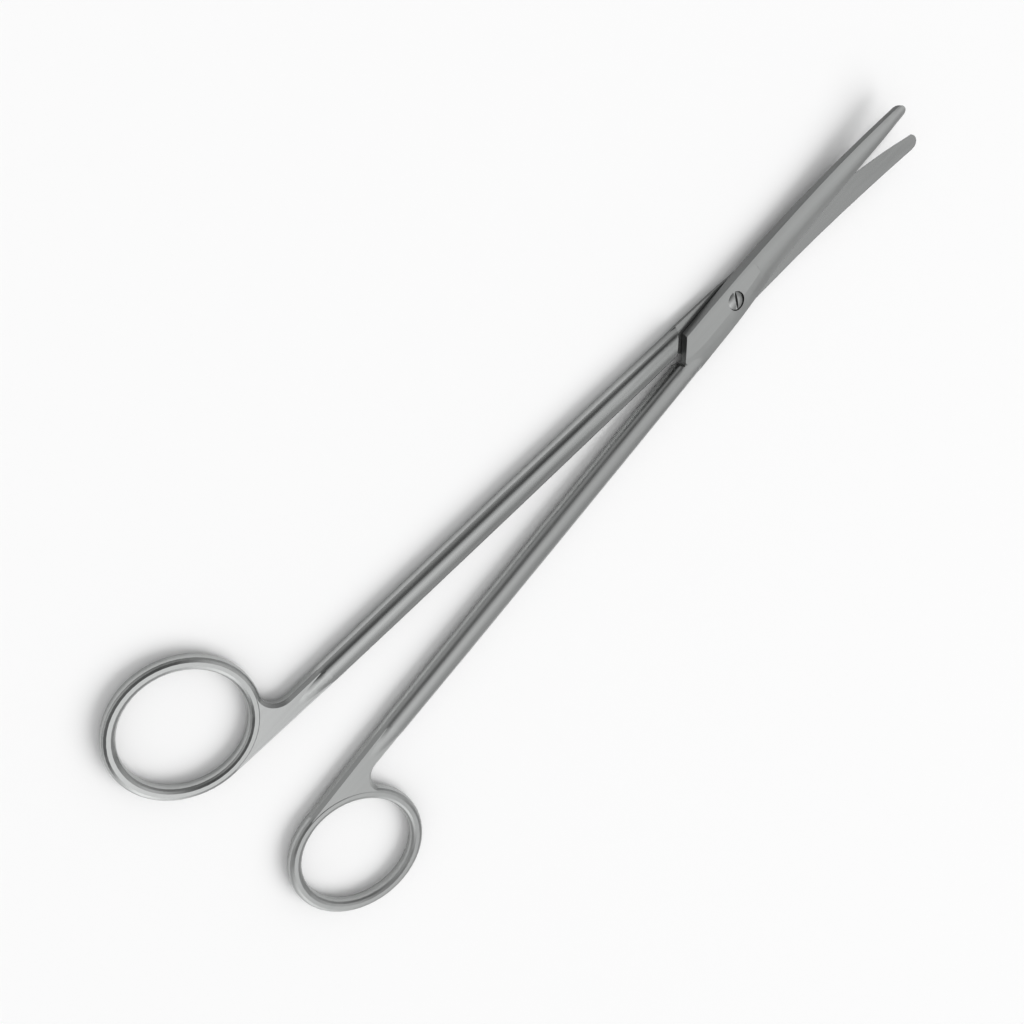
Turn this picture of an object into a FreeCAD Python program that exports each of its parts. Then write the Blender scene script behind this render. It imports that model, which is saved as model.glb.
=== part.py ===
import FreeCAD, Part
import math
import os
from FreeCAD import Vector

# Long dissecting scissors with blades that curve upwards, lying flat and partly open.
# Each half is one forging: finger ring, web, shank, lapped box and blade. A slotted screw is the pivot.
# World frame: origin on the pivot axis at the resting plane, +X to the tips, +Z up, millimetres.
# A half is drawn in its own frame: x to the tips, y towards its own finger ring, z from the lap plane.

# Whole instrument
OPEN_ANGLE = 7.95          # angle between the two shanks, degrees
LAP_GAP = 0.10             # running gap between the two inner faces

# Finger ring: a bar turned about the hole, its rounding drawn as narrow flats
RING_X = 131.9             # centre of the ring behind the pivot
RING_Y = 14.30             # centre of the ring beside the pivot
RING_HOLE = 11.30          # radius of the finger hole
RING_BAND = 2.60           # radial width of the bar
RING_TALL = 2.75           # height of the bar
RING_OVAL = 2.6            # 2 is an ellipse, more is squarer
RING_FLATS = 16            # flats round the bar

# Web: flat plate between ring and shank
WEB_TALL = 2.6
WEB_BEVEL = 0.65           # bevel along its free edges
NECK_FILLET = 3.3          # plan radius where ring and shank meet
WEB_BITE = 0.12            # how far the fillet runs into the ring
WEB_LENGTH = 22.9          # from the ring's centre to where the web ends inside the shank
WEB_INSET = 0.12           # how much narrower it is than the shank there
WEB_LOW = 0.9              # from the ring's centre forward to where its inner side meets the ring
WEB_TUCK = 4.0             # degrees from there to where the web ends inside the bar

# Shank: an oval bar that sinks into the web at the neck
FORGING_TALL = 3.5         # height of shank and box
SHANK_END_X = 9.0          # where the shank ends inside the box
OVAL_POINTS = 12           # points round the oval
EDGE_MATCH = 0.001         # how exactly an edge is found by its place
# distance behind the pivot, inner side, outer side, share of the full height, squareness
SHANK_STATIONS = [
    (SHANK_END_X, 0.30, 3.90, 0.62, 2.8),
    (15.0, -0.38, 4.46, 1.00, 2.8),
    (20.0, -0.39, 4.50, 1.00, 2.8),
    (34.0, -0.50, 4.60, 1.00, 2.6),
    (60.0, -0.55, 4.74, 1.00, 2.4),
    (RING_X - 41.9, -0.42, 4.72, 0.97, 2.4),
    (RING_X - 23.9, -0.24, 4.62, 0.90, 2.4),
    (RING_X - 8.9, 0.40, 3.60, 0.60, 2.4),
]

# Notch between shank and box, in plan
NOTCH_X = 17.1
NOTCH_Y = 0.65
BOX_CORNER_X = 12.5
BOX_CORNER_Y = -4.04
SHOULDER_RUN_X = 3.8       # shoulder line, from the shank's inner side to its outer side
SHOULDER_RUN_Y = 5.15
SHOULDER_SLOPE = 0.70      # how far the shoulder's foot stands in front of its line
SHOULDER_BACK = 0.10       # how far it has sloped behind that line at SHOULDER_DEPTH
SHOULDER_DEPTH = 3.0       # depth under the lap plane, clear of the outer face
NOTCH_DROP = 4.0           # how far the notch follows the shoulder line
NOTCH_OUT = 8.0            # how far the notch reaches, past the side of the box

# Box and blade: one table row for each station along the blade
# distance, spine line, edge line, ridge height, ridge inset, height at the edge
BLADE_STATIONS = [
    (-16.5, -4.02, 4.40, 1.58, 0.35, 1.10),
    (-12.0, -4.04, 4.44, 1.64, 0.38, 1.22),
    (-6.0, -4.04, 4.40, 1.65, 0.42, 1.20),
    (0.0, -4.00, 4.28, 1.65, 0.50, 1.10),
    (6.0, -3.92, 3.94, 1.62, 0.60, 0.86),
    (12.0, -3.72, 3.62, 1.52, 0.66, 0.62),
    (20.0, -3.33, 3.40, 1.36, 0.60, 0.46),
    (30.0, -2.88, 2.93, 1.14, 0.50, 0.38),
    (40.0, -2.41, 2.33, 0.94, 0.42, 0.34),
    (48.0, -1.99, 1.70, 0.80, 0.36, 0.32),
    (54.0, -1.66, 1.08, 0.72, 0.32, 0.30),
]
BLADE_TIP_X = 53.1         # end of the blade
BLADE_TIP_Y = -0.15        # middle of the round tip
BLADE_TIP_RADIUS = 1.58    # rounding of the tip in plan
BLADE_CROWN = 0.08         # swell of the outer face where ridge and edge are equally high
BLADE_SWELL = 0.48         # further swell, as a share of the height lost from ridge to edge
EDGE_BEVEL = 0.25          # how far the top of the edge stands in, as a share of its height
GRIND_END_X = 25.0         # how far the resting face is ground flat under the lower blade
BEND_START = 8.0           # where the blades start to curve upwards
BEND_RADIUS = 270.0

# Pivot screw
SCREW_RADIUS = 1.25
SCREW_HEAD_RADIUS = 1.85
SCREW_HEAD_SEAT = 0.85     # underside of the head above the lap plane
SCREW_HEAD_RIM = 1.45      # top of the head's straight side above the lap plane
SCREW_DOME = 0.36          # rise of the head's dome
SCREW_RUNNING = 0.04       # radial clearance in the half that turns
SCREW_THREAD_GAP = 0.01    # radial clearance in the half that holds the thread
HEAD_CLEARANCE = 0.16      # radial clearance round the head
HEAD_LIFT = 0.03           # clearance under the head
SLOT_WIDTH = 0.55
SLOT_DEPTH = 0.42
SLOT_ANGLE = 65.0          # slot direction seen from above, degrees

# Blocks that cut away material reach well past it
CUT_REACH = 30.0
CUT_TALL = 10.0

# Lap plane above the resting plane
LAP_HEIGHT = FORGING_TALL / 2


def blade_lift(x):
    # height of the lap surface above the lap plane, where the blades curve upwards
    run = max(0.0, x - BEND_START)
    return run * run / (2 * BEND_RADIUS)


def shank_sides(distance):
    # how far its inner and outer side lie across the shank, at a distance behind the pivot
    for near, far in zip(SHANK_STATIONS, SHANK_STATIONS[1:]):
        near_x, near_inner, near_outer = near[:3]
        far_x, far_inner, far_outer = far[:3]
        if near_x <= distance <= far_x:
            share = (distance - near_x) / (far_x - near_x)
            inner = near_inner + (far_inner - near_inner) * share
            outer = near_outer + (far_outer - near_outer) * share
            return inner, outer
    raise ValueError("not along the shank")


def oval_point(turn, squareness):
    # point of a superellipse two units wide and two tall
    y = math.copysign(abs(math.cos(turn)) ** (2 / squareness), math.cos(turn))
    z = math.copysign(abs(math.sin(turn)) ** (2 / squareness), math.sin(turn))
    return y, z


def ring_point(radius, angle):
    return Vector(-RING_X + radius * math.cos(angle), RING_Y + radius * math.sin(angle), 0)


def web_outline(side):
    # inner side into the ring, along the middle of its bar, out again, round the neck to the outer side
    outer_radius = RING_HOLE + RING_BAND
    middle = RING_HOLE + RING_BAND / 2
    front_x = RING_X - WEB_LENGTH
    inner_side, outer_side = shank_sides(front_x)
    inner_end = Vector(-front_x, inner_side + WEB_INSET, 0)
    outer_end = Vector(-front_x, outer_side - WEB_INSET, 0)
    low_turn = -math.acos(WEB_LOW / outer_radius)
    low = ring_point(outer_radius, low_turn)
    low_in = ring_point(middle, low_turn - math.radians(WEB_TUCK))

    neck_y = outer_end.y + NECK_FILLET
    reach = outer_radius + NECK_FILLET - WEB_BITE
    neck_turn = math.asin((neck_y - RING_Y) / reach)
    neck = ring_point(reach, neck_turn)
    bite = ring_point(outer_radius - WEB_BITE, neck_turn)
    bite_in = ring_point(middle, neck_turn)
    neck_end = Vector(neck.x, outer_end.y, 0)
    away = (neck - ring_point(0, 0)).normalize()
    neck_mid = neck - (away + Vector(0, 1, 0)).normalize() * NECK_FILLET
    bar_mid = ring_point(middle, (neck_turn + low_turn) / 2)

    def place(point):
        return Vector(point.x, side * point.y, -WEB_TALL / 2)

    return Part.Wire([
        Part.LineSegment(place(inner_end), place(low)).toShape(),
        Part.LineSegment(place(low), place(low_in)).toShape(),
        Part.Arc(place(low_in), place(bar_mid), place(bite_in)).toShape(),
        Part.LineSegment(place(bite_in), place(bite)).toShape(),
        Part.Arc(place(bite), place(neck_mid), place(neck_end)).toShape(),
        Part.LineSegment(place(neck_end), place(outer_end)).toShape(),
        Part.LineSegment(place(outer_end), place(inner_end)).toShape(),
    ])


def make_web(side):
    plate = Part.Face(web_outline(side)).extrude(Vector(0, 0, WEB_TALL))
    outer_radius = RING_HOLE + RING_BAND
    centre = Vector(-RING_X, side * RING_Y, 0)
    bevelled = []
    for edge in plate.Edges:
        middle = edge.valueAt((edge.FirstParameter + edge.LastParameter) / 2)
        level = abs(abs(middle.z) - WEB_TALL / 2) < EDGE_MATCH
        outside = math.hypot(middle.x - centre.x, middle.y - centre.y) > outer_radius
        across = edge.BoundBox.XLength < EDGE_MATCH
        if level and outside and not across:
            bevelled.append(edge)
    return plate.makeChamfer(WEB_BEVEL, bevelled)


def make_ring(side):
    corners = []
    for step in range(RING_FLATS):
        turn = 2 * math.pi * (step + 0.5) / RING_FLATS
        y, z = oval_point(turn, RING_OVAL)
        corners.append(Vector(0, RING_HOLE + (1 + y) * RING_BAND / 2, z * RING_TALL / 2))
    bar = Part.Face(Part.makePolygon(corners + corners[:1]))
    ring = bar.revolve(Vector(0, 0, 0), Vector(0, 0, 1), 360)
    ring.translate(Vector(-RING_X, side * RING_Y, 0))
    return ring


def oval_wire(x, side, low, high, tall, squareness):
    # closed curve through evenly turned points of a superellipse across the shank
    points = []
    for step in range(OVAL_POINTS):
        y, z = oval_point(2 * math.pi * step / OVAL_POINTS, squareness)
        points.append(Vector(x, side * ((low + high) / 2 + y * (high - low) / 2), z * tall / 2))
    curve = Part.BSplineCurve()
    curve.interpolate(Points=points, PeriodicFlag=True,
                      Parameters=[step / OVAL_POINTS for step in range(OVAL_POINTS + 1)])
    return Part.Wire([curve.toShape()])


def make_shank(side):
    wires = [oval_wire(-distance, side, inner, outer, share * FORGING_TALL, squareness)
             for distance, inner, outer, share, squareness in SHANK_STATIONS]
    return Part.makeLoft(wires, True, True)


def blade_section(station, side, up):
    x, spine, edge, ridge, inset, edge_high = station
    base = blade_lift(x)

    def spot(y, z):
        return Vector(x, side * y, base + up * (LAP_GAP / 2 + z))

    spine_low = spot(spine, 0)
    spine_high = spot(spine + inset, ridge)
    edge_top = spot(edge - EDGE_BEVEL * edge_high, edge_high)
    edge_low = spot(edge, 0)
    flat_z = (ridge + edge_high) / 2
    swell = BLADE_CROWN + BLADE_SWELL * (ridge - edge_high)
    crown = spot((spine + inset + edge) / 2, flat_z + swell)
    return Part.Wire([
        Part.LineSegment(edge_low, spine_low).toShape(),
        Part.LineSegment(spine_low, spine_high).toShape(),
        Part.Arc(spine_high, crown, edge_top).toShape(),
        Part.LineSegment(edge_top, edge_low).toShape(),
    ])


def make_blade(side, up):
    # box and blade on one side of the lap surface, the outer face ground flat up to the bend
    wires = [blade_section(station, side, up) for station in BLADE_STATIONS]
    blade = Part.makeLoft(wires, True, False)
    start_z = FORGING_TALL / 2 if up > 0 else -FORGING_TALL / 2 - CUT_TALL
    end_x = BEND_START if up > 0 else GRIND_END_X
    grind = Part.makeBox(end_x + CUT_REACH, 2 * CUT_REACH, CUT_TALL,
                         Vector(-CUT_REACH, -CUT_REACH, start_z))
    return blade.cut(grind)


def round_tip(blade, side):
    # the plan outline that is kept, ending in a round nose
    centre_x = BLADE_TIP_X - BLADE_TIP_RADIUS

    def spot(x, y):
        return Vector(x, side * y, -CUT_TALL)

    low = spot(centre_x, BLADE_TIP_Y - BLADE_TIP_RADIUS)
    high = spot(centre_x, BLADE_TIP_Y + BLADE_TIP_RADIUS)
    nose = Part.Arc(low, spot(BLADE_TIP_X, BLADE_TIP_Y), high).toShape()
    rest = Part.makePolygon([high, spot(centre_x, CUT_REACH), spot(-CUT_REACH, CUT_REACH),
                             spot(-CUT_REACH, -CUT_REACH), spot(centre_x, -CUT_REACH), low])
    keep = Part.Face(Part.Wire([nose] + rest.Edges)).extrude(Vector(0, 0, 3 * CUT_TALL))
    return blade.common(keep)


def notch_wedge(side):
    # from the notch down the shoulder line, out past the box, and back along the end of the box
    shoulder_x = -NOTCH_X - NOTCH_DROP * SHOULDER_RUN_X / SHOULDER_RUN_Y
    end_slope = (NOTCH_X - BOX_CORNER_X) / (NOTCH_Y - BOX_CORNER_Y)
    end_x = -NOTCH_X + end_slope * (NOTCH_Y + NOTCH_OUT)
    points = [(-NOTCH_X, NOTCH_Y), (shoulder_x, NOTCH_Y - NOTCH_DROP), (shoulder_x, -NOTCH_OUT),
              (end_x, -NOTCH_OUT)]
    corners = [Vector(x, side * y, -CUT_TALL) for x, y in points]
    outline = Part.makePolygon(corners + corners[:1])
    return Part.Face(outline).extrude(Vector(0, 0, 2 * CUT_TALL))


def mate_space(side, up):
    # the room that the other half's box turns in, behind a shoulder that slopes back to the outer face
    length = math.hypot(SHOULDER_RUN_X, SHOULDER_RUN_Y)
    along = Vector(SHOULDER_RUN_X / length, side * SHOULDER_RUN_Y / length, 0)
    ahead = Vector(SHOULDER_RUN_Y / length, -side * SHOULDER_RUN_X / length, 0)
    start = Vector(-NOTCH_X, side * NOTCH_Y, 0) - along * CUT_TALL

    def spot(forward, z):
        return start + ahead * forward + Vector(0, 0, z)

    foot = up * LAP_GAP / 2
    back = -up * SHOULDER_DEPTH
    outline = Part.makePolygon([spot(SHOULDER_SLOPE, foot), spot(-SHOULDER_BACK, back),
                                spot(CUT_REACH, back), spot(CUT_REACH, foot),
                                spot(SHOULDER_SLOPE, foot)])
    return Part.Face(outline).extrude(along * CUT_REACH)


def bore(radius, low, high):
    return Part.makeCylinder(radius, high - low, Vector(0, 0, low))


def make_half(side, up):
    shank = make_shank(side).cut(mate_space(side, up))
    blade = round_tip(make_blade(side, up), side)
    half = make_ring(side).fuse([make_web(side), shank, blade]).cut(notch_wedge(side))
    return half.removeSplitter()


def set_in_place(half, side):
    half.rotate(Vector(0, 0, 0), Vector(0, 0, 1), -side * OPEN_ANGLE / 2)
    half.translate(Vector(0, 0, LAP_HEIGHT))
    return half


def make_screw():
    rim = Vector(SCREW_HEAD_RADIUS, 0, SCREW_HEAD_RIM)
    top = Vector(0, 0, SCREW_HEAD_RIM + SCREW_DOME)
    dome_radius = (SCREW_HEAD_RADIUS ** 2 + SCREW_DOME ** 2) / (2 * SCREW_DOME)
    half_turn = math.asin(SCREW_HEAD_RADIUS / dome_radius) / 2
    dome_mid = Vector(dome_radius * math.sin(half_turn), 0,
                      top.z - dome_radius * (1 - math.cos(half_turn)))
    seat = SCREW_HEAD_SEAT + HEAD_LIFT
    corners = [Vector(0, 0, -LAP_HEIGHT), Vector(SCREW_RADIUS, 0, -LAP_HEIGHT),
               Vector(SCREW_RADIUS, 0, seat), Vector(SCREW_HEAD_RADIUS, 0, seat), rim]
    edges = [Part.LineSegment(a, b).toShape() for a, b in zip(corners, corners[1:])]
    edges.append(Part.Arc(rim, dome_mid, top).toShape())
    edges.append(Part.LineSegment(top, corners[0]).toShape())
    screw = Part.Face(Part.Wire(edges)).revolve(Vector(0, 0, 0), Vector(0, 0, 1), 360)
    slot = Part.makeBox(CUT_TALL, SLOT_WIDTH, CUT_TALL,
                        Vector(-CUT_TALL / 2, -SLOT_WIDTH / 2, top.z - SLOT_DEPTH))
    slot.rotate(Vector(0, 0, 0), Vector(0, 0, 1), SLOT_ANGLE)
    screw = screw.cut(slot)
    screw.translate(Vector(0, 0, LAP_HEIGHT))
    return screw


def make_upper_half():
    half = make_half(-1, 1)
    half = half.cut(bore(SCREW_RADIUS + SCREW_RUNNING, -CUT_TALL, CUT_TALL))
    half = half.cut(bore(SCREW_HEAD_RADIUS + HEAD_CLEARANCE, SCREW_HEAD_SEAT, CUT_TALL))
    return set_in_place(half, -1)


def make_lower_half():
    half = make_half(1, -1)
    half = half.cut(bore(SCREW_RADIUS + SCREW_THREAD_GAP, -CUT_TALL, CUT_TALL))
    return set_in_place(half, 1)


def export(name, shape):
    print(name, "valid", shape.isValid(), "solids", len(shape.Solids), "volume", round(shape.Volume, 2),
          "box", [round(v, 2) for v in (shape.BoundBox.XMin, shape.BoundBox.XMax, shape.BoundBox.YMin,
                                        shape.BoundBox.YMax, shape.BoundBox.ZMin, shape.BoundBox.ZMax)])
    shape.exportStep(os.path.join("parts", name + ".step"))


os.makedirs("parts", exist_ok=True)
export("upper_half", make_upper_half())
export("lower_half", make_lower_half())
export("pivot_screw", make_screw())
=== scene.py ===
import bpy
import math
from mathutils import Matrix, Vector


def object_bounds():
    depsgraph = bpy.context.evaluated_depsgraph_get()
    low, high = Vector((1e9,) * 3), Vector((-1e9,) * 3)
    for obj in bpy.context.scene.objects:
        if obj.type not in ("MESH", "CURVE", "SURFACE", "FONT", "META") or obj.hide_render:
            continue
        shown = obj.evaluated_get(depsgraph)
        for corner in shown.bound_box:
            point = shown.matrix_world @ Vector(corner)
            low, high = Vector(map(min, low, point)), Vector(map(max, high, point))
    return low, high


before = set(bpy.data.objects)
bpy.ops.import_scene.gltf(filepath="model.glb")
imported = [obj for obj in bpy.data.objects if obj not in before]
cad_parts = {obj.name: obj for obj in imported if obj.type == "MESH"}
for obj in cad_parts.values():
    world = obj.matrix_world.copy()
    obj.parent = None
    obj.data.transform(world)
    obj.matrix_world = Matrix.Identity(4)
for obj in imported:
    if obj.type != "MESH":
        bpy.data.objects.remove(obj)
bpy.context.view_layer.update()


def wire(tree, source, target):
    tree.links.new(source, target)


def mathNode(tree, operation, *values):
    node = tree.nodes.new("ShaderNodeMath")
    node.operation = operation
    for target, value in zip(node.inputs, values):
        if isinstance(value, (int, float)):
            target.default_value = value
        else:
            wire(tree, value, target)
    return node.outputs[0]


def product(tree, first, *others):
    for other in others:
        first = mathNode(tree, "MULTIPLY", first, other)
    return first


def axes(tree, vector):
    split = tree.nodes.new("ShaderNodeSeparateXYZ")
    wire(tree, vector, split.inputs[0])
    return split.outputs


def fade(tree, value, span):
    # from 0 at the first value of the span to 1 at the second
    run = tree.nodes.new("ShaderNodeMapRange")
    wire(tree, value, run.inputs["Value"])
    run.inputs["From Min"].default_value, run.inputs["From Max"].default_value = span
    return run.outputs[0]


def noise(tree, vector, scale, detail):
    # evenly spread about 0
    pattern = tree.nodes.new("ShaderNodeTexNoise")
    pattern.inputs["Detail"].default_value = detail
    wire(tree, vector, pattern.inputs["Vector"])
    wire(tree, scale, pattern.inputs["Scale"])
    return mathNode(tree, "SUBTRACT", pattern.outputs[0], 0.5)


def grayRamp(tree, value, rows):
    # smooth run of strengths; each row is a place from 0 to 1 and the strength there
    ramp = tree.nodes.new("ShaderNodeValToRGB")
    stops = ramp.color_ramp
    stops.interpolation = "EASE"
    first, last = stops.elements
    first.position, last.position = rows[0][0], rows[-1][0]
    first.color, last.color = (rows[0][1],) * 3 + (1,), (rows[-1][1],) * 3 + (1,)
    for position, strength in rows[1:-1]:
        stops.elements.new(position).color = (strength,) * 3 + (1,)
    wire(tree, value, ramp.inputs[0])
    return ramp.outputs[0]


def addObject(name, data):
    made = bpy.data.objects.new(name, data)
    bpy.context.scene.collection.objects.link(made)
    return made


# where the photograph was taken from; angles in degrees, lengths in metres
photoCamera = {
    "azimuth": 104.424,      # of the camera, seen from the scissors
    "elevation": 55.577,
    "roll": 120.956,
    "distance": 0.21680,
    "aim": (-0.05607, 0.00230, 0.0),
    "lens": 38.949,
    "sensor": 36,
    "shift": (-0.0215, -0.0208),
    "nearest": 0.005,
}


def addCamera():
    made = addObject("photoCamera", bpy.data.cameras.new("photoCamera"))
    made.data.lens = photoCamera["lens"]
    made.data.sensor_width = photoCamera["sensor"]
    made.data.shift_x, made.data.shift_y = photoCamera["shift"]
    made.data.clip_start = photoCamera["nearest"]
    azimuth = math.radians(photoCamera["azimuth"])
    elevation = math.radians(photoCamera["elevation"])
    back = Vector((math.cos(azimuth) * math.cos(elevation), math.sin(azimuth) * math.cos(elevation),
                   math.sin(elevation)))
    side = Vector((0, 0, 1)).cross(back).normalized()
    up = back.cross(side)
    turn = math.radians(photoCamera["roll"])
    right = side * math.cos(turn) + up * math.sin(turn)
    pose = Matrix((right, back.cross(right), back)).transposed().to_4x4()
    pose.translation = Vector(photoCamera["aim"]) + back * photoCamera["distance"]
    made.matrix_world = pose
    bpy.context.scene.camera = made


satinSteel = {
    "color": (0.42, 0.428, 0.424),
    "grainScale": 900.0,     # fine lines per metre across the grain
    "grainStretch": 0.035,   # how much slower they change along it
    "grainDetail": 4,
    "grainDepth": 0.000004,
    "grainStrength": 0.35,
    "grainTint": 0.22,       # share of the color that the lines change
    "grainRough": 0.18,      # and how far they change the roughness
    "cloudScale": 60.0,
    "cloudDetail": 3,
    "cloudTint": 0.10,
    "cloudRough": 0.12,
    "paintedWallShade": 0.58,       # painted shade: how much darker the colour of the upright walls of box and blade is made
    "wallTilt": (0.75, 0.45),     # upward part of the normal where that shade begins and is full
    "wallRun": (-0.030, -0.008),  # where along X both painted shades begin and are full
    "paintedLapShade": 0.30,        # painted shade: how much darker the colour of the faces is made where the halves slide on each other
    "lapTilt": (-0.75, -0.90),    # outward part of the normal where that shade begins and is full
}


def buildSatinShadeGroup():
    # long fine polishing lines with soft clouding under them, and painted shade on walls and lap faces
    tree = bpy.data.node_groups.new("satinFinishPaintedShade", "ShaderNodeTree")
    tree.interface.new_socket(name="Color", in_out="INPUT", socket_type="NodeSocketColor")
    for name in ("Roughness", "Grain Scale", "Grain Amount", "Cloud Scale", "Outward Side"):
        tree.interface.new_socket(name=name, in_out="INPUT", socket_type="NodeSocketFloat")
    tree.interface.new_socket(name="Color", in_out="OUTPUT", socket_type="NodeSocketColor")
    for name in ("Roughness", "Height"):
        tree.interface.new_socket(name=name, in_out="OUTPUT", socket_type="NodeSocketFloat")
    given = tree.nodes.new("NodeGroupInput").outputs
    result = tree.nodes.new("NodeGroupOutput").inputs
    place = tree.nodes.new("ShaderNodeTexCoord").outputs

    along = tree.nodes.new("ShaderNodeVectorMath")
    along.operation = "MULTIPLY"
    along.inputs[1].default_value = (satinSteel["grainStretch"], 1, 1)
    wire(tree, place["Object"], along.inputs[0])
    grain = noise(tree, along.outputs[0], given["Grain Scale"], satinSteel["grainDetail"])
    grain = product(tree, grain, given["Grain Amount"])
    cloud = noise(tree, place["Object"], given["Cloud Scale"], satinSteel["cloudDetail"])

    normalUp = axes(tree, place["Normal"])[2]
    ahead = fade(tree, axes(tree, place["Object"])[0], satinSteel["wallRun"])
    upright = fade(tree, mathNode(tree, "ABSOLUTE", normalUp), satinSteel["wallTilt"])
    inner = fade(tree, product(tree, normalUp, given["Outward Side"]), satinSteel["lapTilt"])
    # painted shade: darker colour on the upright walls and the lap faces of box and blade
    darker = mathNode(tree, "ADD", product(tree, upright, ahead, satinSteel["paintedWallShade"]),
                      product(tree, inner, ahead, satinSteel["paintedLapShade"]))
    shade = mathNode(tree, "ADD", product(tree, grain, satinSteel["grainTint"]),
                     product(tree, cloud, satinSteel["cloudTint"]))
    level = mathNode(tree, "SUBTRACT", mathNode(tree, "ADD", shade, 1.0), darker)
    tint = tree.nodes.new("ShaderNodeVectorMath")
    tint.operation = "SCALE"
    wire(tree, given["Color"], tint.inputs[0])
    wire(tree, level, tint.inputs["Scale"])
    wire(tree, tint.outputs[0], result["Color"])

    rough = mathNode(tree, "ADD", product(tree, grain, satinSteel["grainRough"]),
                     product(tree, cloud, satinSteel["cloudRough"]))
    wire(tree, mathNode(tree, "ADD", given["Roughness"], rough), result["Roughness"])
    wire(tree, grain, result["Height"])
    return tree


# side is 1 where the outer face looks up and -1 where it looks down; the screw has no lap face
steels = {
    "upper_half": {"material": "upperSteel", "roughness": 0.33, "grain": 1.0, "side": 1.0},
    "lower_half": {"material": "lowerSteel", "roughness": 0.22, "grain": 1.0, "side": -1.0},
    "pivot_screw": {"material": "screwSteel", "roughness": 0.27, "grain": 0.6, "side": 0.0},
}


def dress(node, steel):
    made = bpy.data.materials.new(steel["material"])
    made.use_nodes = True
    tree = made.node_tree
    shader = tree.nodes["Principled BSDF"]
    shader.inputs["Metallic"].default_value = 1.0
    finishAndShade = tree.nodes.new("ShaderNodeGroup")
    finishAndShade.node_tree = satinShadeGroup
    for name, value in {
        "Color": (*satinSteel["color"], 1),
        "Roughness": steel["roughness"],
        "Grain Scale": satinSteel["grainScale"],
        "Grain Amount": steel["grain"],
        "Cloud Scale": satinSteel["cloudScale"],
        "Outward Side": steel["side"],
    }.items():
        finishAndShade.inputs[name].default_value = value
    bump = tree.nodes.new("ShaderNodeBump")
    bump.inputs["Strength"].default_value = satinSteel["grainStrength"]
    bump.inputs["Distance"].default_value = satinSteel["grainDepth"]
    wire(tree, finishAndShade.outputs["Color"], shader.inputs["Base Color"])
    wire(tree, finishAndShade.outputs["Roughness"], shader.inputs["Roughness"])
    wire(tree, finishAndShade.outputs["Height"], bump.inputs["Height"])
    wire(tree, bump.outputs["Normal"], shader.inputs["Normal"])

    # every slot of the node's mesh gets the same steel
    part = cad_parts[node]
    for slot in part.material_slots:
        slot.material = made
    if not part.material_slots:
        part.data.materials.append(made)


paperFloor = {
    "size": 30.0,
    "drop": 0.00015,         # gap below the scissors, so that no faces touch
    "level": 0.94,
    "roughness": 0.9,
    "specular": 0.1,
}


def addFloor():
    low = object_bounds()[0][2] - paperFloor["drop"]
    half = paperFloor["size"] / 2
    mesh = bpy.data.meshes.new("floor")
    corners = [(-half, -half, low), (half, -half, low), (half, half, low), (-half, half, low)]
    mesh.from_pydata(corners, [], [(0, 1, 2, 3)])
    made = addObject("floor", mesh)
    paper = bpy.data.materials.new("palePaper")
    paper.use_nodes = True
    shader = paper.node_tree.nodes["Principled BSDF"]
    shader.inputs["Base Color"].default_value = (paperFloor["level"],) * 3 + (1,)
    shader.inputs["Roughness"].default_value = paperFloor["roughness"]
    shader.inputs["Specular IOR Level"].default_value = paperFloor["specular"]
    mesh.materials.append(paper)


# the key lights the floor and casts the shadow; the glint is the lamp that the steel mirrors
keyLamp = {"kind": "SUN", "energy": 1.62, "spread": 48.0, "place": (0.15, -1.40, 1.40), "mirrored": False}
glintLamp = {"kind": "AREA", "energy": 0.25, "size": 0.40, "place": (0.40, -0.50, 0.55), "mirrored": True}


def addLamp(name, lamp):
    light = bpy.data.lights.new(name, lamp["kind"])
    light.energy = lamp["energy"]
    if lamp["kind"] == "SUN":
        light.angle = math.radians(lamp["spread"])
    else:
        light.size = lamp["size"]
    made = addObject(name, light)
    made.location = lamp["place"]
    made.visible_glossy = lamp["mirrored"]
    aim = Vector(photoCamera["aim"]) - made.location
    made.rotation_euler = aim.to_track_quat("-Z", "Y").to_euler()


studio = {
    # what the steel mirrors, from behind the camera over the top to the far side: place and strength
    "mirrored": [(0.08, 0.60), (0.36, 0.22), (0.50, 0.11), (0.60, 1.05),
                 (0.68, 1.75), (0.77, 1.25), (0.87, 0.62), (0.98, 0.75)],
    # and from the horizon upwards
    "horizon": [(0.0, 0.82), (0.25, 0.62), (0.50, 0.34), (0.85, 0.14)],
    "tipwards": (0.93, -0.72),  # factor on the first run in the middle, and its change towards +X
    "diffuse": 0.65,         # light from all round on what isn't mirrored
    "background": 0.97,      # level that the camera sees beyond the floor
}


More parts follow.
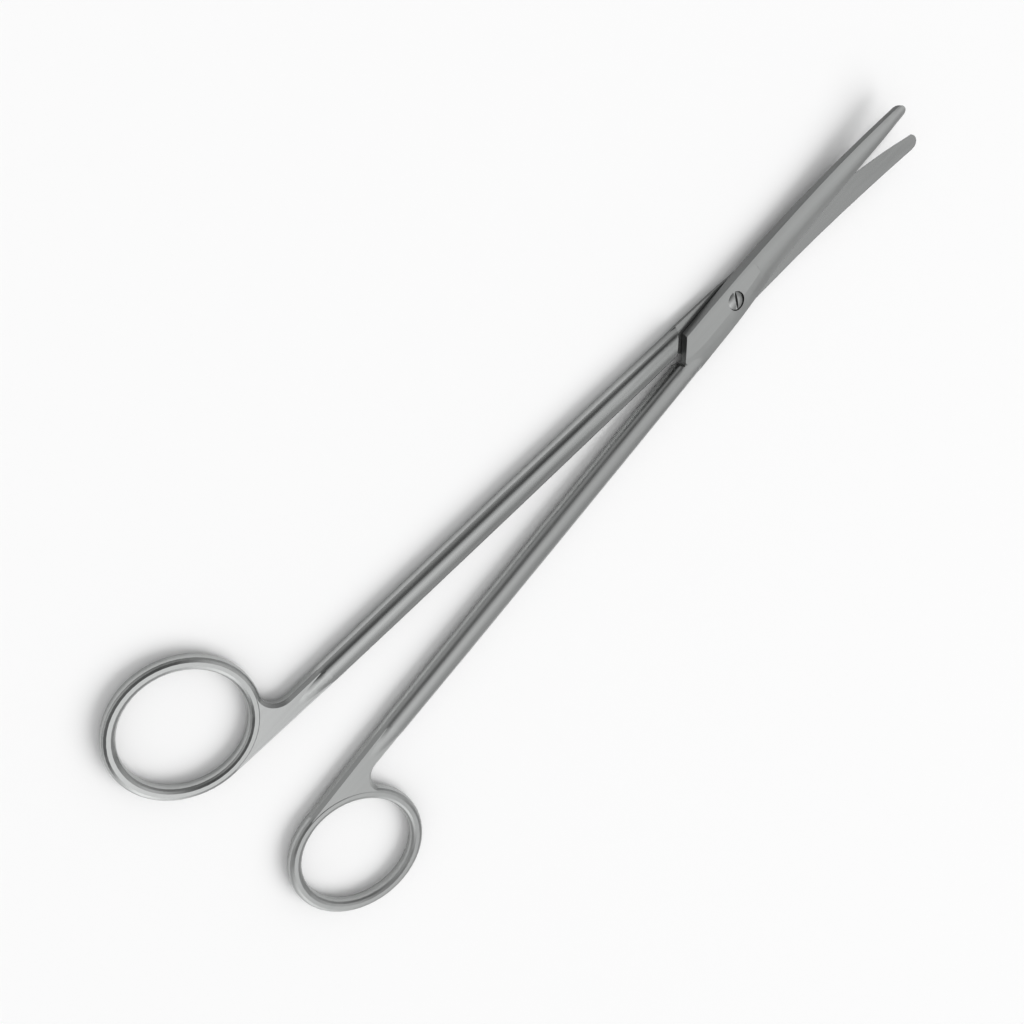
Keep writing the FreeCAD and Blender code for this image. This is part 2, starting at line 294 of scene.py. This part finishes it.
def addWorld():
    # pale to the camera; reflections see a bright far side and a dim camera side
    world = bpy.data.worlds.new("studio")
    world.use_nodes = True
    bpy.context.scene.world = world
    tree = world.node_tree
    tree.nodes.clear()
    path = tree.nodes.new("ShaderNodeLightPath").outputs
    direction = tree.nodes.new("ShaderNodeTexCoord").outputs["Generated"]
    azimuth = math.radians(photoCamera["azimuth"])
    away = tree.nodes.new("ShaderNodeVectorMath")
    away.operation = "DOT_PRODUCT"
    away.inputs[1].default_value = (-math.cos(azimuth), -math.sin(azimuth), 0)
    wire(tree, direction, away.inputs[0])
    spread = mathNode(tree, "MULTIPLY_ADD", away.outputs["Value"], 0.5, 0.5)
    split = axes(tree, direction)
    middle, change = studio["tipwards"]
    tipwards = mathNode(tree, "MULTIPLY_ADD", split[0], change, middle)
    across = product(tree, grayRamp(tree, spread, studio["mirrored"]), tipwards)
    mirrored = mathNode(tree, "MAXIMUM", across, grayRamp(tree, split[2], studio["horizon"]))

    reflected = tree.nodes.new("ShaderNodeBackground")
    wire(tree, mirrored, reflected.inputs["Strength"])
    diffuse = tree.nodes.new("ShaderNodeBackground")
    diffuse.inputs["Color"].default_value = (1, 1, 1, 1)
    diffuse.inputs["Strength"].default_value = studio["diffuse"]
    seen = tree.nodes.new("ShaderNodeBackground")
    seen.inputs["Color"].default_value = (studio["background"],) * 3 + (1,)
    shown = diffuse
    for ray, instead in (("Is Glossy Ray", reflected), ("Is Camera Ray", seen)):
        mixed = tree.nodes.new("ShaderNodeMixShader")
        wire(tree, path[ray], mixed.inputs[0])
        wire(tree, shown.outputs[0], mixed.inputs[1])
        wire(tree, instead.outputs[0], mixed.inputs[2])
        shown = mixed
    wire(tree, shown.outputs[0], tree.nodes.new("ShaderNodeOutputWorld").inputs["Surface"])


print("camera")
addCamera()

print("steel")
satinShadeGroup = buildSatinShadeGroup()
for node, steel in steels.items():
    dress(node, steel)

print("studio")
addFloor()
addLamp("keyLamp", keyLamp)
addLamp("glintLamp", glintLamp)
addWorld()
bpy.context.scene.view_settings.view_transform = "Standard"
